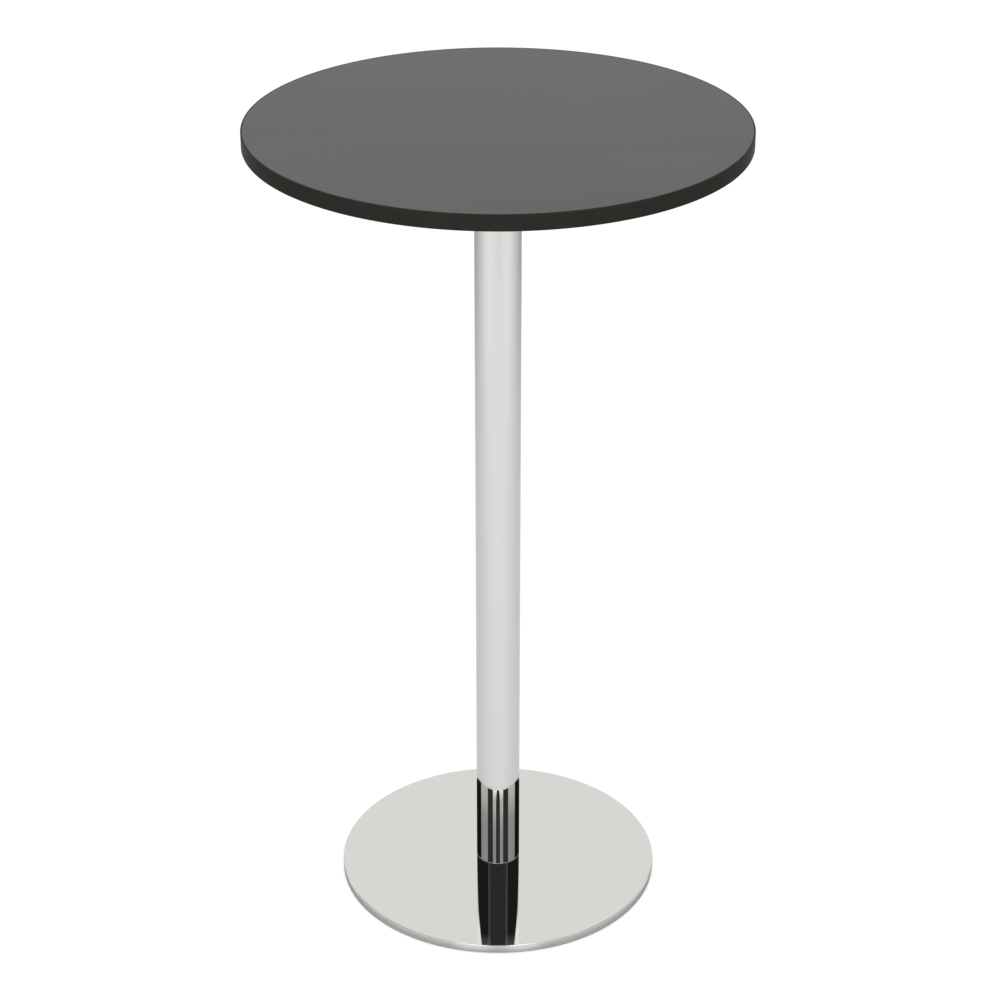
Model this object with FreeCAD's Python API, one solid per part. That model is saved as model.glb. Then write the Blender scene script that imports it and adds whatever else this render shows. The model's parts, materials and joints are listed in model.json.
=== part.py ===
"""A round pub table on one column: laminated top, plated tube and a weighted disc base.

Millimetres, +Z up, origin on the floor under the middle of the column.
"""
import FreeCAD, Part
import math
import os

# Overall sizes
table_height = 1100.0
top_diameter = 635.0
base_diameter = 440.0
column_diameter = 60.3

# Table top: a board between two laminate sheets, with a band round its edge
core_thickness = 19.0
laminate_thickness = 0.8
band_thickness = 2.0
band_arris_radius = 1.0

# Mounting plate under the top
plate_side = 240.0
plate_thickness = 5.0
plate_corner_radius = 22.0
plate_edge_chamfer = 0.6
plate_hole_inset = 20.0
plate_hole_clearance = 0.3

# Pan head screws, washers and threaded inserts that hold the plate to the board
plate_screw_diameter = 6.0
plate_screw_reach = 11.0
plate_screw_head_diameter = 12.0
plate_screw_head_height = 3.6
plate_screw_head_round = 1.2
plate_screw_socket_across = 4.0
plate_screw_socket_depth = 2.2
washer_diameter = 14.0
washer_thickness = 1.4
insert_diameter = 9.5
insert_length = 13.0

# Column tube and the plugs welded into its ends
tube_wall = 2.0
tube_end_chamfer = 0.5
plug_length = 24.0
plug_clearance = 0.05
plug_bore_diameter = 12.0

# Countersunk screws through the plate and through the base into the plugs
plug_screw_count = 4
plug_screw_circle = 34.0
plug_screw_diameter = 8.0
plug_screw_head_diameter = 15.0
plug_screw_head_height = 4.2
plug_screw_socket_across = 5.0
plug_screw_socket_depth = 2.8
plug_screw_grip = 15.0

# Disc base: a spun metal cover over a heavy plate
base_height = 15.0
dish_drop = 0.7
crown_drop = 0.3
crown_run = 80.0
cover_wall = 1.0
cover_lip_width = 5.0
cover_floor_gap = 1.8
cover_bedding = 0.1
ballast_edge_radius = 0.3

# Levelling glides: a pad that stays still on the floor and a stud that turns in it
glide_count = 4
glide_rim_inset = 42.0
glide_pad_diameter = 32.0
glide_pad_chamfer = 0.5
stud_diameter = 8.0
stud_running_gap = 0.1
stud_head_diameter = 16.0
stud_head_height = 1.3
stud_head_gap = 0.1
stud_neck_gap = 0.3
stud_tip_gap = 0.6
stud_tip_chamfer = 0.8
stud_socket_across = 4.0
stud_socket_depth = 4.0
glide_key_hole_diameter = 7.0

# Fits
thread_clearance = 0.05
cut_overrun = 2.0

# Levels and radii that follow from the sizes above
band_height = core_thickness + laminate_thickness + laminate_thickness
board_bottom = table_height - band_height
board_radius = top_diameter / 2 - band_thickness
plate_bottom = board_bottom - plate_thickness
base_radius = base_diameter / 2
glide_circle_radius = base_radius - glide_rim_inset
ballast_bottom = cover_floor_gap + cover_wall + cover_bedding
base_edge_radius = ballast_edge_radius + cover_bedding + cover_wall
tube_radius = column_diameter / 2
bore_radius = tube_radius - tube_wall
crown_start_radius = base_radius - crown_run
crown_radius = (crown_run ** 2 + crown_drop ** 2) / (2 * crown_drop)
dish_angle = math.atan(dish_drop / (crown_start_radius - tube_radius))
rim_drop = dish_drop + crown_run * math.tan(dish_angle) + crown_drop
stud_tip = base_height - rim_drop - cover_wall - cover_bedding - stud_tip_gap


def disc(radius, bottom, top, x=0.0, y=0.0):
    """A plain upright cylinder between two levels."""
    return Part.makeCylinder(radius, top - bottom, FreeCAD.Vector(x, y, bottom))


def cone(bottom_radius, top_radius, bottom, top, x=0.0, y=0.0):
    """An upright frustum between two levels."""
    return Part.makeCone(bottom_radius, top_radius, top - bottom, FreeCAD.Vector(x, y, bottom))


def hexagon(across, bottom, top, x=0.0, y=0.0):
    """An upright hexagonal prism, for the sockets that a key turns."""
    corner = across / 2 / math.cos(math.pi / 6)
    turns = [math.tau * step / 6 for step in range(7)]
    ring = [FreeCAD.Vector(x + corner * math.cos(a), y + corner * math.sin(a), bottom) for a in turns]
    return Part.Face(Part.makePolygon(ring)).extrude(FreeCAD.Vector(0, 0, top - bottom))


def circle_edges(shape, radius, level):
    """The round edges of a shape that have this radius and lie at this level."""
    found = []
    for edge in shape.Edges:
        if not isinstance(edge.Curve, Part.Circle):
            continue
        same_radius = math.isclose(edge.Curve.Radius, radius, rel_tol=1e-6)
        same_level = math.isclose(edge.Curve.Center.z, level, rel_tol=1e-6)
        if same_radius and same_level:
            found.append(edge)
    return found


def spots_on_circle(count, radius):
    """Evenly spaced places on a circle, the first one half a step round from +X."""
    angles = [math.tau * (step + 0.5) / count for step in range(count)]
    return [(radius * math.cos(a), radius * math.sin(a)) for a in angles]


def plate_spots():
    """The plate's fixing places: its four corners and the middles of its four sides."""
    reach = plate_side / 2 - plate_hole_inset
    places = [(x, y) for x in (-reach, 0, reach) for y in (-reach, 0, reach)]
    return [place for place in places if place != (0, 0)]


def cut_all(shape, tools):
    """A shape with every tool taken out of it."""
    return shape.cut(Part.makeCompound(tools))


# Table top


def make_top_laminate():
    """The hard sheet that one sees and uses."""
    return disc(board_radius, table_height - laminate_thickness, table_height)


def make_top_core():
    """The board, with blind holes in its underside for the threaded inserts."""
    bottom = board_bottom + laminate_thickness
    core = disc(board_radius, bottom, bottom + core_thickness)
    hole_radius = insert_diameter / 2 + thread_clearance
    hole_top = board_bottom + insert_length + cut_overrun
    return cut_all(core, [disc(hole_radius, board_bottom, hole_top, x, y) for x, y in plate_spots()])


def make_underside_laminate():
    """The balancing sheet below the board, drilled where the inserts go in."""
    sheet = disc(board_radius, board_bottom, board_bottom + laminate_thickness)
    hole_radius = insert_diameter / 2 + thread_clearance
    low = board_bottom - cut_overrun
    high = board_bottom + laminate_thickness + cut_overrun
    return cut_all(sheet, [disc(hole_radius, low, high, x, y) for x, y in plate_spots()])


def make_edge_band():
    """The band glued round the board's edge, with its two outer corners eased."""
    outer = board_radius + band_thickness
    band = disc(outer, board_bottom, table_height)
    band = band.cut(disc(board_radius, board_bottom - cut_overrun, table_height + cut_overrun))
    corners = circle_edges(band, outer, board_bottom) + circle_edges(band, outer, table_height)
    return band.makeFillet(band_arris_radius, corners)


def make_threaded_insert(x, y):
    """One insert: a sleeve let into the board, flush with the underside."""
    top = board_bottom + insert_length
    sleeve = disc(insert_diameter / 2, board_bottom, top, x, y)
    screw_hole_radius = plate_screw_diameter / 2 + thread_clearance
    return sleeve.cut(disc(screw_hole_radius, board_bottom - cut_overrun, top + cut_overrun, x, y))


# Mounting plate and its fasteners


def make_mounting_plate():
    """A square steel plate with round corners, holes to the board and countersinks to the column."""
    half = plate_side / 2
    corner = FreeCAD.Vector(-half, -half, plate_bottom)
    plate = Part.makeBox(plate_side, plate_side, plate_thickness, corner)
    uprights = [edge for edge in plate.Edges if edge.BoundBox.ZLength > plate_thickness / 2]
    plate = plate.makeFillet(plate_corner_radius, uprights)
    lower_face = min(plate.Faces, key=lambda face: face.CenterOfMass.z)
    plate = plate.makeChamfer(plate_edge_chamfer, lower_face.Edges)
    hole_radius = plate_screw_diameter / 2 + plate_hole_clearance
    low = plate_bottom - cut_overrun
    high = board_bottom + cut_overrun
    holes = [disc(hole_radius, low, high, x, y) for x, y in plate_spots()]
    return cut_all(cut_all(plate, holes), countersinks(board_bottom, -1, plate_thickness))


def make_plate_washer(x, y):
    """One flat washer between a screw head and the plate."""
    bottom = plate_bottom - washer_thickness
    ring = disc(washer_diameter / 2, bottom, plate_bottom, x, y)
    hole_radius = plate_screw_diameter / 2 + plate_hole_clearance
    return ring.cut(disc(hole_radius, bottom - cut_overrun, plate_bottom + cut_overrun, x, y))


def make_plate_screw(x, y):
    """One pan head screw, driven up through washer and plate into its insert."""
    seat = plate_bottom - washer_thickness
    head_bottom = seat - plate_screw_head_height
    head_radius = plate_screw_head_diameter / 2
    head = disc(head_radius, head_bottom, seat, x, y)
    head = head.makeFillet(plate_screw_head_round, circle_edges(head, head_radius, head_bottom))
    shank = disc(plate_screw_diameter / 2, seat, board_bottom + plate_screw_reach, x, y)
    socket_top = head_bottom + plate_screw_socket_depth
    socket = hexagon(plate_screw_socket_across, head_bottom - cut_overrun, socket_top, x, y)
    return head.fuse(shank).removeSplitter().cut(socket)


# Column


def make_column_tube():
    """The plated tube, square cut, with its outer ends lightly chamfered."""
    tube = disc(tube_radius, base_height, plate_bottom)
    tube = tube.cut(disc(bore_radius, base_height - cut_overrun, plate_bottom + cut_overrun))
    ends = circle_edges(tube, tube_radius, base_height) + circle_edges(tube, tube_radius, plate_bottom)
    return tube.makeChamfer(tube_end_chamfer, ends)


def make_end_plug(bottom):
    """A turned plug for one tube end, with a lightening bore and tapped holes right through."""
    top = bottom + plug_length
    low = bottom - cut_overrun
    high = top + cut_overrun
    plug = disc(bore_radius - plug_clearance, bottom, top)
    tapped_radius = plug_screw_diameter / 2 + thread_clearance
    tapped = [disc(tapped_radius, low, high, x, y) for x, y in plug_screw_spots()]
    return cut_all(plug, tapped + [disc(plug_bore_diameter / 2, low, high)])


def plug_screw_spots():
    """The places of the screws that go into an end plug."""
    return spots_on_circle(plug_screw_count, plug_screw_circle / 2)


def countersinks(face_level, direction, depth):
    """Cutters for the holes of the plug screws, sunk into a face and going the given way."""
    shank_radius = plug_screw_diameter / 2 + thread_clearance
    head_radius = plug_screw_head_diameter / 2 + thread_clearance
    sink_end = face_level + direction * plug_screw_head_height
    far = face_level + direction * (depth + cut_overrun)
    near = face_level - direction * cut_overrun
    tools = []
    for x, y in plug_screw_spots():
        tools.append(disc(shank_radius, min(near, far), max(near, far), x, y))
        if direction > 0:
            tools.append(cone(head_radius, shank_radius, face_level, sink_end, x, y))
        else:
            tools.append(cone(shank_radius, head_radius, sink_end, face_level, x, y))
    return tools


def make_plug_screw(x, y, face_level, direction, depth):
    """One countersunk screw, its head flush with a face and its shank going the given way."""
    shank_radius = plug_screw_diameter / 2
    head_radius = plug_screw_head_diameter / 2
    sink_end = face_level + direction * plug_screw_head_height
    tip = face_level + direction * (depth + plug_screw_grip)
    socket_end = face_level + direction * plug_screw_socket_depth
    shank = disc(shank_radius, min(sink_end, tip), max(sink_end, tip), x, y)
    if direction > 0:
        head = cone(head_radius, shank_radius, face_level, sink_end, x, y)
        socket = hexagon(plug_screw_socket_across, face_level - cut_overrun, socket_end, x, y)
    else:
        head = cone(shank_radius, head_radius, sink_end, face_level, x, y)
        socket = hexagon(plug_screw_socket_across, socket_end, face_level + cut_overrun, x, y)
    return head.fuse(shank).cut(socket)


# Disc base


def swung(centre, reach, angle):
    """A point of the base's profile, at a distance from a centre and an angle from upright."""
    return centre + FreeCAD.Vector(reach * math.sin(angle), 0, reach * math.cos(angle))


def crowned_disc(inset, bottom):
    """A disc, flat under the column, that falls gently from there to a rounded rim.

    It falls straight at first and then along a large arc, which runs smoothly into the rim. The inset
    moves its top and its rim inwards by the same distance all over.
    """
    top = base_height - inset
    crown_start = FreeCAD.Vector(crown_start_radius, 0, base_height - dish_drop)
    crown_centre = swung(crown_start, -crown_radius, dish_angle)
    rim_reach = crown_radius - base_edge_radius
    rim_angle = math.asin((base_radius - base_edge_radius - crown_centre.x) / rim_reach)
    rim_centre = swung(crown_centre, rim_reach, rim_angle)
    dish_end = swung(crown_centre, crown_radius - inset, dish_angle)
    crown_middle = swung(crown_centre, crown_radius - inset, (dish_angle + rim_angle) / 2)
    shoulder = swung(crown_centre, crown_radius - inset, rim_angle)
    rim_middle = swung(rim_centre, base_edge_radius - inset, (rim_angle + math.pi / 2) / 2)
    skirt_top = swung(rim_centre, base_edge_radius - inset, math.pi / 2)
    corners = [
        dish_end,
        FreeCAD.Vector(tube_radius - inset * math.tan(dish_angle / 2), 0, top),
        FreeCAD.Vector(0, 0, top),
        FreeCAD.Vector(0, 0, bottom),
        FreeCAD.Vector(skirt_top.x, 0, bottom),
        skirt_top,
    ]
    edges = [Part.LineSegment(a, b).toShape() for a, b in zip(corners, corners[1:])]
    edges.append(Part.Arc(skirt_top, rim_middle, shoulder).toShape())
    edges.append(Part.Arc(shoulder, crown_middle, dish_end).toShape())
    profile = Part.Face(Part.Wire(edges))
    return profile.revolve(FreeCAD.Vector(0, 0, 0), FreeCAD.Vector(0, 0, 1), 360)


def make_base_cover():
    """The polished sheet over the base, its skirt turned in below to grip the weight."""
    cover = crowned_disc(0, cover_floor_gap)
    cover = cover.cut(crowned_disc(cover_wall, cover_floor_gap + cover_wall))
    lip_radius = base_radius - cover_lip_width
    cover = cover.cut(disc(lip_radius, 0, ballast_bottom))
    hole_radius = plug_screw_diameter / 2 + thread_clearance
    low = base_height - cover_wall - cut_overrun
    high = base_height + cut_overrun
    return cut_all(cover, [disc(hole_radius, low, high, x, y) for x, y in plug_screw_spots()])


def make_ballast_plate():
    """The weight: countersunk for the column's screws and tapped for the glides."""
    ballast = crowned_disc(cover_wall + cover_bedding, ballast_bottom)
    ballast = cut_all(ballast, countersinks(ballast_bottom, 1, base_height))
    tapped_radius = stud_diameter / 2 + stud_running_gap
    low = ballast_bottom - cut_overrun
    high = base_height + cut_overrun
    return cut_all(ballast, [disc(tapped_radius, low, high, x, y) for x, y in glide_spots()])


# Levelling glides


def glide_spots():
    """The places of the glides under the base."""
    return spots_on_circle(glide_count, glide_circle_radius)


def stud_head_levels():
    """The bottom and top of a stud's head, in the middle of its pad's height."""
    bottom = (ballast_bottom - stud_head_height) / 2
    return bottom, bottom + stud_head_height


def make_glide_pad(x, y):
    """A plastic pad that rests on the floor, hollow where the stud's head turns in it."""
    pad_radius = glide_pad_diameter / 2
    pad = disc(pad_radius, 0, ballast_bottom, x, y)
    pad = pad.makeChamfer(glide_pad_chamfer, circle_edges(pad, pad_radius, 0))
    head_bottom, head_top = stud_head_levels()
    pocket_radius = stud_head_diameter / 2 + stud_head_gap
    neck_radius = stud_diameter / 2 + stud_neck_gap
    hollows = [
        disc(pocket_radius, head_bottom - stud_head_gap, head_top + stud_head_gap, x, y),
        disc(neck_radius, head_top, ballast_bottom + cut_overrun, x, y),
        disc(glide_key_hole_diameter / 2, -cut_overrun, head_bottom, x, y),
    ]
    return cut_all(pad, hollows)


def make_glide_stud(x, y):
    """A threaded stud with a flat head, turned from below by a key in its socket."""
    head_bottom, head_top = stud_head_levels()
    shank = disc(stud_diameter / 2, head_top, stud_tip, x, y)
    shank = shank.makeChamfer(stud_tip_chamfer, circle_edges(shank, stud_diameter / 2, stud_tip))
    stud = shank.fuse(disc(stud_head_diameter / 2, head_bottom, head_top, x, y))
    socket = hexagon(stud_socket_across, head_bottom - cut_overrun, head_bottom + stud_socket_depth, x, y)
    return stud.cut(socket)


def group(make, spots):
    """Copies of one small piece at several places, kept as separate solids."""
    return Part.makeCompound([make(x, y) for x, y in spots])


def make_top_plug_screw(x, y):
    """One screw down through the mounting plate into the upper plug."""
    return make_plug_screw(x, y, board_bottom, -1, plate_thickness)


def make_base_screw(x, y):
    """One screw up through the weight and its cover into the lower plug."""
    return make_plug_screw(x, y, ballast_bottom, 1, base_height - ballast_bottom)


def make_nodes():
    """Every piece of the table by name."""
    nodes = {
        "top_laminate": make_top_laminate(),
        "top_core": make_top_core(),
        "underside_laminate": make_underside_laminate(),
        "edge_band": make_edge_band(),
        "threaded_inserts": group(make_threaded_insert, plate_spots()),
        "mounting_plate": make_mounting_plate(),
        "plate_washers": group(make_plate_washer, plate_spots()),
        "plate_screws": group(make_plate_screw, plate_spots()),
        "column_tube": make_column_tube(),
        "column_top_plug": make_end_plug(plate_bottom - plug_length),
        "column_foot_plug": make_end_plug(base_height),
        "top_plug_screws": group(make_top_plug_screw, plug_screw_spots()),
        "base_screws": group(make_base_screw, plug_screw_spots()),
        "base_cover": make_base_cover(),
        "ballast_plate": make_ballast_plate(),
    }
    for number, (x, y) in enumerate(glide_spots(), start=1):
        nodes[f"glide_pad_{number}"] = make_glide_pad(x, y)
        nodes[f"glide_stud_{number}"] = make_glide_stud(x, y)
    return nodes


def main():
    """Write one file for each piece."""
    os.makedirs("parts", exist_ok=True)
    for name, shape in make_nodes().items():
        shape.exportStep(f"parts/{name}.step")
        print(name, len(shape.Solids), "solids", round(shape.Volume), "mm3", shape.isValid())


main()
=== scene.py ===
# %% [markdown]
# A bar-height pub table, dressed for a product picture. The construction already exists as named solids in
# a fixed frame: board, edging, tube, weighted disc base, levelling glides and all the hidden fasteners.
# This lesson loads that frame, rebuilds the four surfaces that one sees as smooth shapes of revolution,
# gives every solid a finish made from shader nodes, and sets up a plain white studio.

# %% Load the frame
import json
import math

import bpy
import numpy as np
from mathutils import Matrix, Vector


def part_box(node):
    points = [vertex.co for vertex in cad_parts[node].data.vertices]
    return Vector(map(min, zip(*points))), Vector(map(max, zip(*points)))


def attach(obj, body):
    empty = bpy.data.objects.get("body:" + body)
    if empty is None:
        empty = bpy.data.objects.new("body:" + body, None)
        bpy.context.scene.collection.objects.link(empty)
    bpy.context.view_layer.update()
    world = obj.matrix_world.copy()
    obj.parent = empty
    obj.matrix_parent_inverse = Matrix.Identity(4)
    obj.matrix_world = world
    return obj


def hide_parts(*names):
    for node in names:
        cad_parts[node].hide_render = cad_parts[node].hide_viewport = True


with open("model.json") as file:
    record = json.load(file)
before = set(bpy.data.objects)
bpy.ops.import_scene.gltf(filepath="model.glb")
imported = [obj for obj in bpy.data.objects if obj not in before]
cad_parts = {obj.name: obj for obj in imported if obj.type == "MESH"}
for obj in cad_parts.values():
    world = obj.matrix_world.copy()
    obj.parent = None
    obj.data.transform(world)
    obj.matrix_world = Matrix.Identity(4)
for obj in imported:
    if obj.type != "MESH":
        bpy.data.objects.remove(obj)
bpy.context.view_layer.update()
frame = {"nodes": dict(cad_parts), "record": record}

nodes = frame["nodes"]
scene = bpy.context.scene
scene.view_settings.view_transform = "Standard"

# %% [markdown]
# Sizes come from the frame, so nothing here can drift away from the construction. A node's box gives its
# radius and its lowest and highest level. Only what a box can't tell is typed: the walls of tube and sheet,
# eased corners and the gentle fall of the base.

# %% Read the sizes
def radius_of(node):
    """Half of a round node's width."""
    low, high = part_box(node)
    return (high.x - low.x) / 2


def levels_of(node):
    """The lowest and highest level of a node."""
    low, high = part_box(node)
    return low.z, high.z


MM = 0.001
board_low, board_high = levels_of("edge_band")
board_radius = radius_of("edge_band")
sheet_radius = radius_of("top_laminate")
sheet_low, sheet_high = levels_of("top_laminate")
tube_low, tube_high = levels_of("column_tube")
tube_radius = radius_of("column_tube")
base_low, base_high = levels_of("base_cover")
base_radius = radius_of("base_cover")
print("board radius", board_radius, "tube radius", tube_radius, "base radius", base_radius)

# %% [markdown]
# Every visible part of this table is round, so one helper makes them all: a profile, given as radius and
# height, is carried round the upright axis. In parameters, the point at share u of the turn and row v of
# the profile is (r(v) cos 2 pi u, r(v) sin 2 pi u, z(v)). A lathe or a Screw modifier would also do, but
# the formula gives full control of how many steps lie where, and a mirror finish shows every facet.

# %% A lathe for smooth rings and discs
def arc(centre, radius, start, end, steps):
    """Points of a circular arc in the profile plane, from one angle to another in degrees."""
    angle = np.radians(np.linspace(start, end, steps))
    return np.stack([centre[0] + radius * np.cos(angle), centre[1] + radius * np.sin(angle)], axis=1)


def ring_steps(around, extra_at=None, extra_span=0.0, extra_steps=9):
    """Angles round the axis: even steps, and a few close ones about one place."""
    even = np.arange(around) * math.tau / around
    if extra_at is None:
        return even
    close = extra_at + np.linspace(-extra_span, extra_span, extra_steps)
    return np.sort(np.concatenate([even, close]))


sharp_angle = math.radians(35)
axis_tolerance = 1e-9
plain_round = 256
mirror_round = 384


def lathe(name, profile, angles=ring_steps(plain_round), closed=False, dent=None):
    """A surface of revolution: each profile point (r, z) goes round the axis as a ring of quads.

    A profile that starts or ends on the axis is closed there by a fan to a single point, and a closed
    profile joins its last ring to its first. dent is a function of angle that moves a ring's radius.
    """
    profile = np.asarray(profile, dtype=float)
    on_axis = profile[:, 0] < axis_tolerance
    rings = profile[~on_axis]
    around = len(angles)
    shift = np.zeros(around) if dent is None else dent(angles)
    radius = rings[:, :1] + shift[None, :]
    height = np.broadcast_to(rings[:, 1:], radius.shape)
    grid = np.stack([radius * np.cos(angles), radius * np.sin(angles), height], axis=2)
    points = grid.reshape(-1, 3)
    count = len(rings)
    index = np.arange(count * around).reshape(count, around)
    if closed:
        index = np.vstack([index, index[:1]])
    low, high = index[:-1], index[1:]
    quads = np.stack([low, np.roll(low, -1, 1), np.roll(high, -1, 1), high], axis=2).reshape(-1, 4)
    faces = quads.tolist()
    for at_start in (True, False):
        if not on_axis[0 if at_start else -1]:
            continue
        tip = len(points)
        points = np.vstack([points, [0.0, 0.0, profile[0 if at_start else -1, 1]]])
        ring = index[0] if at_start else index[-1]
        edge = (np.roll(ring, -1), ring) if at_start else (ring, np.roll(ring, -1))
        faces += np.stack([*edge, np.full(around, tip)], axis=1).tolist()
    mesh = bpy.data.meshes.new(name)
    mesh.from_pydata(points.tolist(), [], faces)
    mesh.polygons.foreach_set("use_smooth", np.ones(len(mesh.polygons), dtype=bool))
    mesh.set_sharp_from_angle(angle=sharp_angle)
    mesh.update()
    piece = bpy.data.objects.new(name, mesh)
    scene.collection.objects.link(piece)
    print(name, len(mesh.vertices), "points,", len(mesh.polygons), "faces")
    return piece


def stands_for(piece, node):
    """The piece takes a solid's place: it moves with the table, and the solid is hidden."""
    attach(piece, "table")
    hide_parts(node)

# %% [markdown]
# The table's surface is a thin sheet of hard laminate, trimmed flush with the board. Its trimmed edge is
# never razor sharp: a file takes off a fraction of a millimetre. That tiny bevel is what draws the fine
# line between sheet and edging, so it is in the mesh and not only in the shading.

# %% The laminate sheet
trim_bevel = 0.25 * MM


def flat_disc_profile(radius, low, high, bevel):
    """A disc's profile: out along the bottom, up, over a small bevel and back to the axis."""
    rim = radius - bevel
    return [(0, low), (radius, low), (radius, high - bevel), (rim, high), (radius / 2, high), (0, high)]


table_surface = lathe("table_surface", flat_disc_profile(sheet_radius, sheet_low, sheet_high, trim_bevel))
stands_for(table_surface, "top_laminate")

# %% [markdown]
# The edging is a strip bent round the board and butted end to end. Its outer corners are eased with a
# scraper, so that the pale top turns softly into the dark side, and the butt joint leaves a hairline at the
# back of the table. The joint is a narrow dent in the radius, so the ring needs extra steps just there.

# %% The edging strip
arris = 1.1 * MM
arris_hold = 0.3 * MM
inner_ease = 0.15 * MM
joint_angle = math.radians(97)
joint_half_width = 0.35 * MM
joint_depth = 0.22 * MM
arris_steps = 9
edging_round = 320


def joint_dent(angle):
    """A V groove: the depth falls off in a straight line to nothing at the joint's half width."""
    distance = np.abs(angle - joint_angle) * board_radius / joint_half_width
    return -joint_depth * np.clip(1 - distance, 0, None)


def edging_profile():
    """The strip's section, anticlockwise: two eased outer corners and two barely eased inner ones.

    A ring close to each eased corner keeps its bend out of the shading of the flat side.
    """
    outer, inner = board_radius, sheet_radius
    low, high = board_low, board_high
    bottom = arc((outer - arris, low + arris), arris, -90, 0, arris_steps)
    top = arc((outer - arris, high - arris), arris, 0, 90, arris_steps)
    side = [(outer, low + arris + arris_hold), (outer, high - arris - arris_hold)]
    inside = [
        (inner + inner_ease, high), (inner, high - inner_ease),
        (inner, low + inner_ease), (inner + inner_ease, low),
    ]
    return np.vstack([bottom, side, top, inside])


edging = lathe(
    "edging_strip",
    edging_profile(),
    angles=ring_steps(edging_round, joint_angle, 2 * joint_half_width / board_radius),
    closed=True,
    dent=joint_dent,
)
stands_for(edging, "edge_band")

# %% [markdown]
# The column is drawn steel tube, cut square, deburred and chrome plated. A mirror finish shows the slightest
# facet, so it gets many steps round. Its upper end, under the board, is chamfered, and its foot is rounded by
# half a millimetre: that round mirrors the ceiling, which draws a fine pale line where column and base meet.

# %% The column
tube_wall = 2.0 * MM
tube_chamfer = 0.6 * MM
foot_round = 0.5 * MM
foot_hold = 0.15 * MM
foot_steps = 10


def tube_profile():
    """The tube wall's section, anticlockwise from its rounded outer foot.

    A ring close above the round keeps its bend out of the shading of the straight side.
    """
    outer, inner = tube_radius, tube_radius - tube_wall
    foot = arc((outer - foot_round, tube_low + foot_round), foot_round, -90, 0, foot_steps)
    rest = [
        (outer, tube_low + foot_round + foot_hold), (outer, tube_high - tube_chamfer),
        (outer - tube_chamfer, tube_high), (inner, tube_high), (inner, tube_low),
    ]
    return np.vstack([foot, rest])


column = lathe("chrome_column", tube_profile(), angles=ring_steps(mirror_round), closed=True)
stands_for(column, "column_tube")

# %% [markdown]
# The base is a sheet spun over a heavy plate. It is flat under the column, falls from there as a very
# shallow cone, then a little faster as a crown, is rolled over a tight radius into a skirt and turned in
# below. In all it falls by a millimetre and a half, which hardly shows in the outline, but a mirror doubles
# each slope: the cone parts the column from its own image, and the crown makes that image taper. So both
# have to be real geometry. The level at radius r is top - slope (r - start) - drop ((r - crown) / run)^2,
# where a bracket that is less than nothing counts as nothing.

# %% The spun base cover
dish_drop = 0.7 * MM
crown_drop = 0.3 * MM
crown_run = 80.0 * MM
rim_radius = 1.4 * MM
rim_hold = 0.15 * MM
sheet_wall = 1.0 * MM
hem_width = 5.0 * MM
hem_bend = 0.8 * MM
crown_steps = 40
rim_steps = 18
hem_steps = 6

crown_start = base_radius - crown_run
dish_start = tube_radius - tube_wall / 2
dish_slope = dish_drop / (crown_start - tube_radius)


def cover_level(radius):
    """The cover's level at a radius: a straight fall, and a parabola more from the crown's start."""
    fall = dish_slope * np.clip(radius - dish_start, 0, None)
    crown_share = np.clip(radius - crown_start, 0, None) / crown_run
    return base_high - fall - crown_drop * crown_share ** 2


def shell_side(inset):
    """One side of the sheet, from skirt to axis: the rolled rim, crown and cone, and the flat middle.

    A ring close inside the rim keeps its bend out of the crown's shading, and a ring under the tube's
    wall does the same for the flat middle.
    """
    bend = rim_radius - inset
    outer = base_radius - inset
    lean = math.atan(dish_slope + 2 * crown_drop / crown_run * (1 - rim_radius / crown_run))
    tangent = outer - bend + bend * math.sin(lean)
    centre = (outer - bend, float(cover_level(tangent)) - inset - bend * math.cos(lean))
    rim = arc(centre, bend, 0, 90 - math.degrees(lean), rim_steps)
    reach = np.append(np.linspace(tangent - rim_hold, tube_radius, crown_steps), dish_start)
    fall = np.stack([reach, cover_level(reach) - inset], axis=1)
    return np.vstack([rim, fall, [(0, base_high - inset)]])


def cover_profile():
    """The whole sheet's section: along its inside, round the turned-in hem and back over its outside."""
    outside = shell_side(0)
    inside = shell_side(sheet_wall)[::-1]
    inner_skirt = base_radius - sheet_wall
    hem_edge = base_radius - hem_width
    hem = [(inner_skirt, base_low + sheet_wall), (hem_edge, base_low + sheet_wall), (hem_edge, base_low)]
    turn = arc((base_radius - hem_bend, base_low + hem_bend), hem_bend, -90, 0, hem_steps)
    skirt = [turn[-1] + (0, rim_hold), outside[0] - (0, rim_hold)]
    return np.vstack([inside, hem, turn, skirt, outside])


cover = lathe("spun_base_cover", cover_profile(), angles=ring_steps(mirror_round))
stands_for(cover, "base_cover")

# %% [markdown]
# Finishes are small node trees. To keep them readable, a socket is wrapped in a class that knows plus,
# minus and times, so a roughness can be written as one line of arithmetic, and one method adds any other
# node from its type, its settings and the values or wires of its sockets.

# %% Shader arithmetic
class Wire:
    """One output socket of a node tree; sums and products with it add Math nodes."""

    def __init__(self, net, socket):
        self.net = net
        self.socket = socket

    def math(self, operation, *others):
        """A Math node on this wire and the other values."""
        inputs = dict(enumerate([self, *others]))
        return self.net.node("ShaderNodeMath", {"operation": operation}, inputs)

    def __add__(self, other):
        return self.math("ADD", other)

    def __sub__(self, other):
        return self.math("SUBTRACT", other)

    def __rsub__(self, other):
        return (self * -1) + other

    def __mul__(self, other):
        return self.math("MULTIPLY", other)

    __radd__ = __add__
    __rmul__ = __mul__


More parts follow.
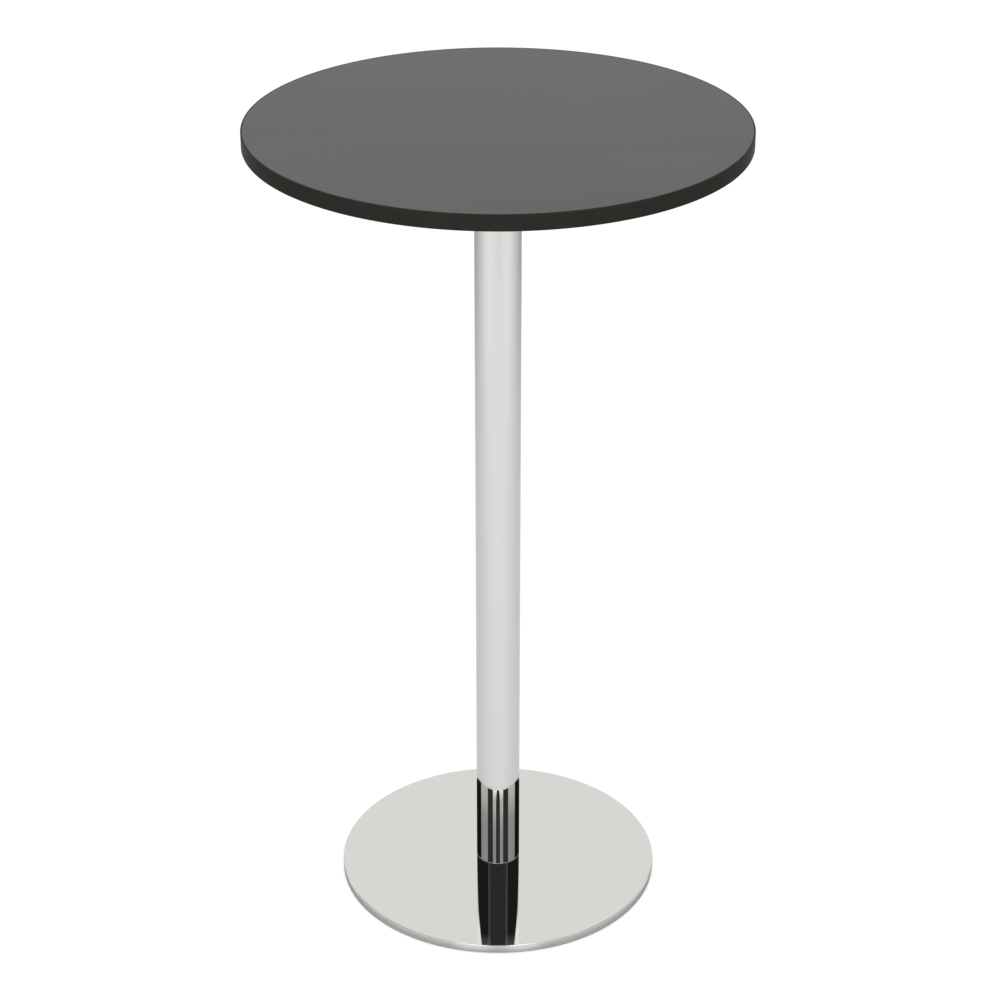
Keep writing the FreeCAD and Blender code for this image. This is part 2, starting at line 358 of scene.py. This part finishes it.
class Net:
    """A node tree, with one method that adds any node and returns one of its outputs as a wire."""

    def __init__(self, tree):
        self.tree = tree

    def node(self, kind, settings=None, inputs=None, output=0):
        """Add a node: its settings first, then the values or wires of its sockets."""
        made = self.tree.nodes.new(kind)
        for name, value in (settings or {}).items():
            setattr(made, name, value)
        for name, value in (inputs or {}).items():
            self.feed(made.inputs[name], value)
        return Wire(self, made.outputs[output])

    def feed(self, socket, value):
        """Link a wire to a socket, or set a plain value on it."""
        if isinstance(value, Wire):
            self.tree.links.new(value.socket, socket)
        elif isinstance(value, tuple) and len(value) == 3 and socket.type == "RGBA":
            socket.default_value = (*value, 1.0)
        else:
            socket.default_value = value

    def noise(self, vector, scale, detail, roughness=0.5):
        """Smooth noise from 0 to 1, with scale bumps to the metre and detail finer layers."""
        inputs = {"Vector": vector, "Scale": scale, "Detail": detail, "Roughness": roughness}
        return self.node("ShaderNodeTexNoise", None, inputs, "Fac")

    def blend(self, share, first, second):
        """A colour between two, by a share from 0 to 1."""
        inputs = {"Factor": share, 6: first, 7: second}
        return self.node("ShaderNodeMix", {"data_type": "RGBA"}, inputs, 2)

    def bump(self, height, strength, distance):
        """A surface normal tilted by a height in metres."""
        inputs = {"Height": height, "Strength": strength, "Distance": distance}
        return self.node("ShaderNodeBump", None, inputs)

    def stretched(self, vector, scale):
        """Coordinates scaled by three factors, for streaks and drawn lines."""
        return self.node("ShaderNodeMapping", None, {"Vector": vector, "Scale": scale})


def finish(name, recipe):
    """A material whose principled shader gets the sockets that a recipe returns."""
    material = bpy.data.materials.new(name)
    material.use_nodes = True
    net = Net(material.node_tree)
    place = net.node("ShaderNodeTexCoord", None, None, "Object")
    shader = material.node_tree.nodes["Principled BSDF"]
    for socket, value in recipe(net, place).items():
        net.feed(shader.inputs[socket], value)
    print("finish", name, len(material.node_tree.nodes), "nodes")
    return material

# %% [markdown]
# The top is a black decorative laminate pressed against a fine matt plate. Close up it has a pebbled skin a
# few tenths of a millimetre across; from a step away one only sees an even satin that turns pale grey at a
# low angle, which is plain Fresnel reflection on a nearly black ground. Slow changes of roughness stand for
# how it is wiped.

# %% Satin black laminate
def satin_laminate(net, place):
    """A pebbled black skin, with clouds and wiping streaks in its roughness."""
    pebble = net.noise(place, scale=900.0, detail=2.0)
    wiped = net.noise(net.stretched(place, (3.0, 14.0, 3.0)), scale=1.0, detail=3.0)
    cloud = net.noise(place, scale=6.0, detail=3.0)
    return {
        "Base Color": net.blend(pebble, (0.020, 0.020, 0.0196), (0.032, 0.032, 0.0314)),
        "Roughness": 0.36 + 0.05 * cloud + 0.03 * wiped + 0.02 * pebble,
        "Normal": net.bump(pebble, strength=0.12, distance=0.05 * MM),
        "IOR": 1.5,
    }


laminate_finish = finish("satin_black_laminate", satin_laminate)

# %% [markdown]
# The edging is extruded plastic with a dull skin. Its colour is close to that of the sheet, but it hardly
# mirrors the room, so it looks much blacker. The die leaves very fine lines along its length, which run level
# round the table. Stretching the noise along x and y, so that it changes only with height, draws them.

# %% Extruded edging
def extruded_edging(net, place):
    """Dull black plastic with level die lines and a faint haze."""
    die_lines = net.noise(net.stretched(place, (2.0, 2.0, 2600.0)), scale=1.0, detail=3.0)
    haze = net.noise(place, scale=30.0, detail=3.0)
    return {
        "Base Color": net.blend(haze, (0.0215, 0.0217, 0.0182), (0.0297, 0.0300, 0.0258)),
        "Roughness": 0.24 + 0.07 * die_lines + 0.06 * haze,
        "Normal": net.bump(die_lines, strength=0.08, distance=0.03 * MM),
        "Specular IOR Level": 0.012,
    }


edging_finish = finish("extruded_black_edging", extruded_edging)

# %% [markdown]
# Chrome has almost no colour of its own. What makes it look real is that it isn't a perfect mirror: the belt
# that polished the tube ran along it, and the spun cover was buffed on a turning lathe. So the roughness has
# faint streaks along the column, and faint rings on the base, worked out from the distance to the axis.

# %% Polished tube and spun cover
def polished_tube(net, place):
    """Chrome with faint polishing streaks along the tube."""
    streaks = net.noise(net.stretched(place, (700.0, 700.0, 3.0)), scale=1.0, detail=2.0)
    cloud = net.noise(place, scale=12.0, detail=3.0)
    return {
        "Base Color": net.blend(cloud, (0.655, 0.655, 0.648), (0.675, 0.675, 0.668)),
        "Metallic": 1.0,
        "Roughness": 0.006 + 0.010 * streaks + 0.006 * cloud,
    }


def axis_distance(net, place):
    """The distance of a point from the table's upright axis."""
    flat = net.node("ShaderNodeVectorMath", {"operation": "MULTIPLY"}, {0: place, 1: (1.0, 1.0, 0.0)})
    return net.node("ShaderNodeVectorMath", {"operation": "LENGTH"}, {0: flat}, "Value")


def spun_cover(net, place):
    """Chrome with faint buffing rings about the axis."""
    ring = net.node("ShaderNodeCombineXYZ", None, {"X": axis_distance(net, place)})
    rings = net.noise(ring, scale=1600.0, detail=3.0)
    cloud = net.noise(place, scale=9.0, detail=3.0)
    return {
        "Base Color": net.blend(cloud, (0.660, 0.667, 0.636), (0.674, 0.680, 0.652)),
        "Metallic": 1.0,
        "Roughness": 0.006 + 0.012 * rings + 0.006 * cloud,
    }


tube_finish = finish("polished_chrome_tube", polished_tube)
cover_finish = finish("polished_spun_cover", spun_cover)

# %% [markdown]
# The rest is seen only from below or not at all, but each solid still gets what it is made of: textured
# powder coat on the mounting plate, bright zinc on the fasteners, brass inserts, turned steel plugs, chip
# board, a black painted casting and moulded nylon.

# %% Finishes of the hidden pieces
def powder_coat(net, place):
    """Black powder coat with a fine grit."""
    grit = net.noise(place, scale=1500.0, detail=3.0)
    return {
        "Base Color": net.blend(grit, (0.012, 0.012, 0.012), (0.024, 0.024, 0.024)),
        "Roughness": 0.48 + 0.14 * grit,
        "Normal": net.bump(grit, strength=0.35, distance=0.12 * MM),
    }


def bright_zinc(net, place):
    """Zinc plate with small crystals."""
    crystals = net.noise(place, scale=420.0, detail=3.0)
    return {
        "Base Color": net.blend(crystals, (0.52, 0.54, 0.57), (0.70, 0.70, 0.69)),
        "Metallic": 1.0,
        "Roughness": 0.22 + 0.2 * crystals,
    }


def turned_brass(net, place):
    """Brass with turning lines."""
    lines = net.noise(net.stretched(place, (20.0, 20.0, 2500.0)), scale=1.0, detail=2.0)
    return {
        "Base Color": net.blend(lines, (0.62, 0.44, 0.18), (0.76, 0.58, 0.29)),
        "Metallic": 1.0,
        "Roughness": 0.2 + 0.2 * lines,
    }


def turned_steel(net, place):
    """Bare steel with turning lines."""
    lines = net.noise(net.stretched(place, (30.0, 30.0, 3000.0)), scale=1.0, detail=2.0)
    return {
        "Base Color": net.blend(lines, (0.36, 0.36, 0.37), (0.50, 0.50, 0.51)),
        "Metallic": 1.0,
        "Roughness": 0.28 + 0.2 * lines,
    }


def chip_board(net, place):
    """Pressed wood chips, light and dark."""
    chips = net.noise(net.stretched(place, (260.0, 420.0, 700.0)), scale=1.0, detail=4.0)
    fine = net.noise(place, scale=1200.0, detail=2.0)
    return {
        "Base Color": net.blend(chips, (0.30, 0.19, 0.10), (0.66, 0.50, 0.32)),
        "Roughness": 0.78 + 0.15 * fine,
        "Normal": net.bump(chips, strength=0.5, distance=0.3 * MM),
    }


def painted_casting(net, place):
    """Black paint over sand cast iron."""
    sand = net.noise(place, scale=700.0, detail=4.0, roughness=0.6)
    swell = net.noise(place, scale=40.0, detail=2.0)
    return {
        "Base Color": net.blend(swell, (0.016, 0.016, 0.017), (0.034, 0.034, 0.035)),
        "Roughness": 0.5 + 0.2 * sand,
        "Normal": net.bump(sand, strength=0.45, distance=0.25 * MM),
    }


def moulded_nylon(net, place):
    """Black nylon with the spark texture of its mould."""
    spark = net.noise(place, scale=1100.0, detail=2.0)
    return {
        "Base Color": net.blend(spark, (0.018, 0.018, 0.019), (0.034, 0.034, 0.035)),
        "Roughness": 0.42 + 0.12 * spark,
        "Normal": net.bump(spark, strength=0.2, distance=0.08 * MM),
    }


slot_finishes = {
    "black_laminate": laminate_finish,
    "black_edging": edging_finish,
    "polished_chrome": tube_finish,
    "polished_cover": cover_finish,
    "black_plate": finish("black_powder_coat", powder_coat),
    "zinc_fastener": finish("bright_zinc", bright_zinc),
    "brass_insert": finish("turned_brass", turned_brass),
    "plain_steel": finish("turned_steel", turned_steel),
    "particle_board": finish("chip_board", chip_board),
    "cast_ballast": finish("black_painted_casting", painted_casting),
    "glide_plastic": finish("moulded_nylon", moulded_nylon),
}

# %% [markdown]
# The record says which finish slot each solid has. A new piece has no material yet, and a solid from the
# frame has a plain one that is cleared first. Then both are given the finish of their slot.

# %% Give every piece its finish
new_pieces = {
    table_surface: "black_laminate",
    edging: "black_edging",
    column: "polished_chrome",
    cover: "polished_cover",
}
for piece, slot_name in new_pieces.items():
    piece.data.materials.append(slot_finishes[slot_name])
for part in frame["record"]["subparts"]:
    solid = nodes[part["node"]]
    solid.data.materials.clear()
    solid.data.materials.append(slot_finishes[part["material_slot"]])
print("finishes given to", len(new_pieces), "new pieces and", len(nodes), "solids")

# %% [markdown]
# The studio is a white floor in a white room. A mirror finish shows the whole room, so the room is drawn in
# the world shader for reflected rays alone: white walls, and on the camera's side a dark screen with two
# narrow lamps in it and a broad lamp to either side. They make the stripes at the column's foot, where the
# column sees the base and the base sees the room. A direction is given by its azimuth, from 0 degrees on
# the camera's side to 180 at the far wall, and by its elevation above the horizon. In the cells below, a
# name that ends in turn is a range of azimuth, and one that ends in rise is a range of elevation.

# %% Steps and directions for the studio's shaders
def smooth_step(value, start, end):
    """0 below start, 1 above end and a smooth rise between."""
    settings = {"interpolation_type": "SMOOTHSTEP"}
    inputs = {"Value": value, "From Min": start, "From Max": end}
    return value.net.node("ShaderNodeMapRange", settings, inputs)


def above(value, level, blur):
    """1 above a level and 0 below it, with a smooth rise as far as blur to either side."""
    return smooth_step(value, level - blur, level + blur)


def strip(value, start, end, soft):
    """1 between start and end and 0 outside, with edges as wide as soft."""
    return above(value, start, soft / 2) - above(value, end, soft / 2)


def towards(first, second, share):
    """A number on the way from the first to the second."""
    return first + share * (second - first)


degrees_per_radian = math.degrees(1)


def azimuth_and_height(net, vector):
    """The azimuth of a vector in degrees, the same to the left and right, and its z part."""
    parts = net.node("ShaderNodeSeparateXYZ", None, {"Vector": vector}).socket.node.outputs
    x, y, z = (Wire(net, parts[axis]) for axis in "XYZ")
    azimuth = x.math("ABSOLUTE").math("ARCTAN2", y * -1) * degrees_per_radian
    return azimuth, z

# %% [markdown]
# The lower part of the screen holds the lamps. Each lamp is one strip of azimuth that fades as it rises, and
# the narrow ones flare out towards the camera at their lower end. Behind the screen comes the white far wall,
# with a white corner that reaches further round at the bottom.

# %% The lower screen
screen_tones = (0.058, 0.012)
screen_tone_turn = (60.0, 100.0)
narrow_turn = (10.5, 27.5)
narrow_soft = 2.5
narrow_tone = 0.86
narrow_fade = 0.40
narrow_fade_rise = (32.7, 34.0)
flare_reach = 7.0
flare_tone = 0.2
flare_rise = (31.4, 32.6)
broad_turn = (57.0, 103.0)
broad_soft = 4.0
broad_tone = 0.87
broad_fade = 0.39
broad_fade_rise = (32.0, 33.7)
far_wall_turn = (162.0, 167.0)
corner_reach = 50.0
corner_rise = (31.65, 31.85)


def lower_screen(azimuth, elevation):
    """The screen with its lamps: narrow ones near the camera, broad ones at the sides."""
    flare = flare_reach * (1.0 - smooth_step(elevation, *flare_rise))
    narrow_glow = narrow_tone - narrow_fade * smooth_step(elevation, *narrow_fade_rise) + flare_tone * flare
    narrow = strip(azimuth, narrow_turn[0] - flare, narrow_turn[1], narrow_soft) * narrow_glow
    broad_glow = broad_tone - broad_fade * smooth_step(elevation, *broad_fade_rise)
    broad = strip(azimuth, *broad_turn, broad_soft) * broad_glow
    dark = towards(*screen_tones, smooth_step(azimuth, *screen_tone_turn))
    corner = 1.0 - smooth_step(elevation, *corner_rise)
    behind = smooth_step(azimuth + corner_reach * corner, *far_wall_turn)
    return towards(dark + narrow + broad, 1.0, behind)


print("narrow lamps at", narrow_turn, "and broad lamps at", broad_turn, "degrees")

# %% [markdown]
# The screen's upper part, which the base sees, has no lamps. Its middle panel ends in a paler line, and the
# side panels have a faint sheen at the top. It reaches round to the side walls and gets narrower as it rises,
# while the walls behind it get brighter.

# %% The upper screen
panel_tones = (0.048, 0.020)
panel_end_turn = (53.0, 58.0)
panel_line_turn = (44.0, 55.0)
panel_line_soft = 4.0
panel_line_tone = 0.06
sheen_tone = 0.09
sheen_rise = (37.9, 38.4)
sheen_turn = (40.0, 50.0)
wall_low = 35.8
wall_tone = 0.32
wall_gain = 0.6
wall_limit = 1.5
wall_edge = 164.5
wall_spread = 22.2
wall_blur = 3.0


def upper_screen(azimuth, elevation):
    """The dark screen above the lamps, with a paler line where its middle panel ends, and bright walls."""
    line = panel_line_tone * strip(azimuth, *panel_line_turn, panel_line_soft)
    sheen = sheen_tone * smooth_step(elevation, *sheen_rise) * smooth_step(azimuth, *sheen_turn)
    tone = towards(*panel_tones, smooth_step(azimuth, *panel_end_turn)) + line + sheen
    rise = (elevation - wall_low).math("MAXIMUM", 0.0)
    wall = (wall_tone + wall_gain * rise).math("MINIMUM", wall_limit)
    wall = towards(wall, 1.0, smooth_step(azimuth, *far_wall_turn))
    edge = wall_edge - wall_spread * rise
    return towards(tone, wall, above(azimuth - edge, 0.0, wall_blur))


print("side walls rise from", wall_low, "degrees")

# %% [markdown]
# The ceiling is white overhead and over the far wall, and dim at the sides, which shades the rim of the base.
# Two small lamps high in front put the bright marks on the front of that rim.

# %% The ceiling
ceiling_edge = 62.0
ceiling_blur = 3.0
ceiling_tone = 0.4
ceiling_sides_turn = (50.0, 150.0)
ceiling_sides_soft = 20.0
ceiling_sides_loss = 0.15
ceiling_far_turn = (140.0, 160.0)
ceiling_far_gain = 0.6
high_lamp_tone = 5.0
high_lamp_turn = (14.0, 56.0)
high_lamp_turn_soft = 10.0
high_lamp_rise = (64.0, 80.0)
high_lamp_rise_soft = 4.0


def ceiling(azimuth, elevation):
    """White overhead and towards the far wall, dim at the sides, with two small lamps high in front."""
    side = ceiling_sides_loss * strip(azimuth, *ceiling_sides_turn, ceiling_sides_soft)
    far = ceiling_far_gain * smooth_step(azimuth, *ceiling_far_turn)
    overhead = above(elevation, ceiling_edge, ceiling_blur)
    lamps = high_lamp_tone * strip(azimuth, *high_lamp_turn, high_lamp_turn_soft)
    lamps = lamps * strip(elevation, *high_lamp_rise, high_lamp_rise_soft)
    return towards(ceiling_tone - side + far, 1.0, overhead) + lamps


print("ceiling is white above", ceiling_edge, "degrees")

# %% [markdown]
# These three layers lie above each other, over white walls. Rays from the camera see plain white, and the
# soft light that falls on everything comes from a slightly dimmer white.

# %% The room that the chrome reflects
ambient = 0.75
lower_screen_edge = 29.0
lower_screen_blur = 1.0
upper_screen_edge = 35.1
upper_screen_blur = 0.3
screen_top = 39.3
screen_top_blur = 0.5


def room(net):
    """How bright the room is in a direction, for rays that a mirror finish sends out."""
    direction = net.node("ShaderNodeTexCoord", None, None, "Generated")
    azimuth, height = azimuth_and_height(net, direction)
    elevation = height.math("ARCSINE") * degrees_per_radian
    in_lower = above(elevation, lower_screen_edge, lower_screen_blur)
    in_upper = above(elevation, upper_screen_edge, upper_screen_blur)
    in_ceiling = above(elevation, screen_top, screen_top_blur)
    bright = towards(1.0, lower_screen(azimuth, elevation), in_lower)
    bright = towards(bright, upper_screen(azimuth, elevation), in_upper)
    return towards(bright, ceiling(azimuth, elevation), in_ceiling)


world = bpy.data.worlds.new("studio")
world.use_nodes = True
scene.world = world
studio = Net(world.node_tree)
rays = studio.node("ShaderNodeLightPath").socket.node.outputs
seen = Wire(studio, rays["Is Camera Ray"]).math("MAXIMUM", Wire(studio, rays["Is Transmission Ray"]))
mirrored = Wire(studio, rays["Is Glossy Ray"])
reflected = towards(ambient, room(studio), mirrored)
background = world.node_tree.nodes["Background"]
studio.feed(background.inputs["Strength"], towards(reflected, 1.0, seen))
studio.feed(background.inputs["Color"], (1.0, 1.0, 1.0))
print("world", len(world.node_tree.nodes), "nodes")

# %% [markdown]
# The floor is half lit and half shining: the shining half is there only for the camera and for reflections,
# so that an open floor comes out white, while the lit half still takes the table's soft shadow. It is a wide
# disc, so that its edge stays out of the picture.

# %% The floor
floor_reach = 14.0
floor_steps = 96

turn = np.arange(floor_steps) * math.tau / floor_steps
corners = floor_reach * np.stack([np.cos(turn), np.sin(turn), np.zeros(floor_steps)], axis=1)
floor_mesh = bpy.data.meshes.new("floor")
floor_mesh.from_pydata(corners.tolist(), [], [tuple(range(floor_steps))])
floor = bpy.data.objects.new("floor", floor_mesh)
scene.collection.objects.link(floor)
print("floor", 2 * floor_reach, "m across")

# %% [markdown]
# In the chrome the floor is not all one white, because its glow for reflections carries painted shade. The
# glow fades towards the far wall, which is painted shade on the column's sides, and it is painted dark right
# under the rim of the base as a contact shadow, in a ring that is narrower near its front. A name that ends
# in span is a range of distance from the table's axis, in metres.

# %% The floor in the chrome
near_glow = 0.49
near_loss = 0.18
near_turn = (0.0, 140.0)
middle_span = (0.9, 2.6)
middle_glow = 0.44
middle_gain = 0.09
middle_gain_turn = (25.0, 68.0)
middle_gain_soft = 30.0
middle_loss = 0.38
middle_loss_turn = (60.0, 150.0)
far_span = (3.0, 7.0)
far_glow = 0.60
rim_shade = 30 * MM
front_rim_shade = 15 * MM
front_turn = (3.0, 16.0)
front_soft = 8.0


def mirror_glow(azimuth, distance):
    """The glow that reflections see: a painted fan of tones at a distance, and a painted shadow ring at the
    base's rim.
    """
    # painted shade: the glow dims further round towards the far wall
    near = near_glow - near_loss * smooth_step(azimuth, *near_turn)
    gain = middle_gain * strip(azimuth, *middle_gain_turn, middle_gain_soft)
    middle = middle_glow + gain - middle_loss * smooth_step(azimuth, *middle_loss_turn)
    open_floor = towards(near, middle, smooth_step(distance, *middle_span))
    open_floor = towards(open_floor, far_glow, smooth_step(distance, *far_span))
    # painted contact shadow: the glow fades to nothing at the base's rim
    shade = towards(rim_shade, front_rim_shade, strip(azimuth, *front_turn, front_soft))
    return open_floor * smooth_step(distance, base_radius, base_radius + shade)


print("shade under the rim reaches", rim_shade, "m out, and", front_rim_shade, "m near the front")

# %% [markdown]
# The floor's own material then adds the two halves: a grey diffuse surface, and a glow that the camera sees
# in one strength and the chrome in another.

# %% The floor's material
floor_colour = (0.5, 0.5, 0.5)
camera_glow = 0.60
camera_far_glow = 0.68
camera_far_span = (1.5, 6.0)


def floor_material():
    """A diffuse floor plus a glow for camera, mirror and glass rays."""
    material = bpy.data.materials.new("studio_floor")
    material.use_nodes = True
    net = Net(material.node_tree)
    outputs = net.node("ShaderNodeLightPath").socket.node.outputs
    place = net.node("ShaderNodeTexCoord", None, None, "Object")
    azimuth = azimuth_and_height(net, place)[0]
    distance = axis_distance(net, place)
    direct = Wire(net, outputs["Is Camera Ray"]).math("MAXIMUM", Wire(net, outputs["Is Transmission Ray"]))
    shown = towards(camera_glow, camera_far_glow, smooth_step(distance, *camera_far_span))
    glow = direct * shown + Wire(net, outputs["Is Glossy Ray"]) * mirror_glow(azimuth, distance)
    lit = net.node("ShaderNodeBsdfDiffuse", None, {"Color": floor_colour})
    shining = net.node("ShaderNodeEmission", None, {"Color": (1.0, 1.0, 1.0), "Strength": glow})
    both = net.node("ShaderNodeAddShader", None, {0: lit, 1: shining})
    net.feed(material.node_tree.nodes["Material Output"].inputs["Surface"], both)
    print("floor material", len(material.node_tree.nodes), "nodes")
    return material


floor_mesh.materials.append(floor_material())

# %% [markdown]
# Two wide lamps give the room its soft light from above. They are hidden from reflections, because the room
# already shows the lamps that the chrome should mirror.

# %% Lamps
lamp_size = 2.6
lamp_watts = 42.0
lamp_target = (0.0, 0.0, 0.5)
lamp_places = {"left_softbox": (-1.6, -2.3, 3.2), "right_softbox": (1.6, -2.1, 3.4)}

for name, place in lamp_places.items():
    data = bpy.data.lights.new(name, "AREA")
    data.shape = "SQUARE"
    data.size = lamp_size
    data.energy = lamp_watts
    lamp = bpy.data.objects.new(name, data)
    lamp.location = place
    aim = np.subtract(lamp_target, place)
    lamp.rotation_euler = (math.atan2(math.hypot(aim[0], aim[1]), -aim[2]), 0, math.atan2(-aim[0], aim[1]))
    lamp.visible_glossy = False
    scene.collection.objects.link(lamp)
print("lamps", list(lamp_places))

# %% [markdown]
# The camera stands three metres in front of the table and twice as high as a person's waist, looking down by
# 27 degrees with a long lens. These values come from fitting the two ellipses and the column's sides.

# %% Camera
camera_place = (0.0, -3.028, 2.1227)
camera_dip = 27.03
camera_lens = 92.16
camera_shift = 0.0020
camera_sensor = 36.0

camera_data = bpy.data.cameras.new("camera")
camera_data.lens = camera_lens
camera_data.sensor_width = camera_sensor
camera_data.shift_x = camera_shift
camera = bpy.data.objects.new("camera", camera_data)
camera.location = camera_place
camera.rotation_euler = (math.radians(90 - camera_dip), 0, 0)
scene.collection.objects.link(camera)
scene.camera = camera
print("camera at", camera_place, "looking down by", camera_dip, "degrees")
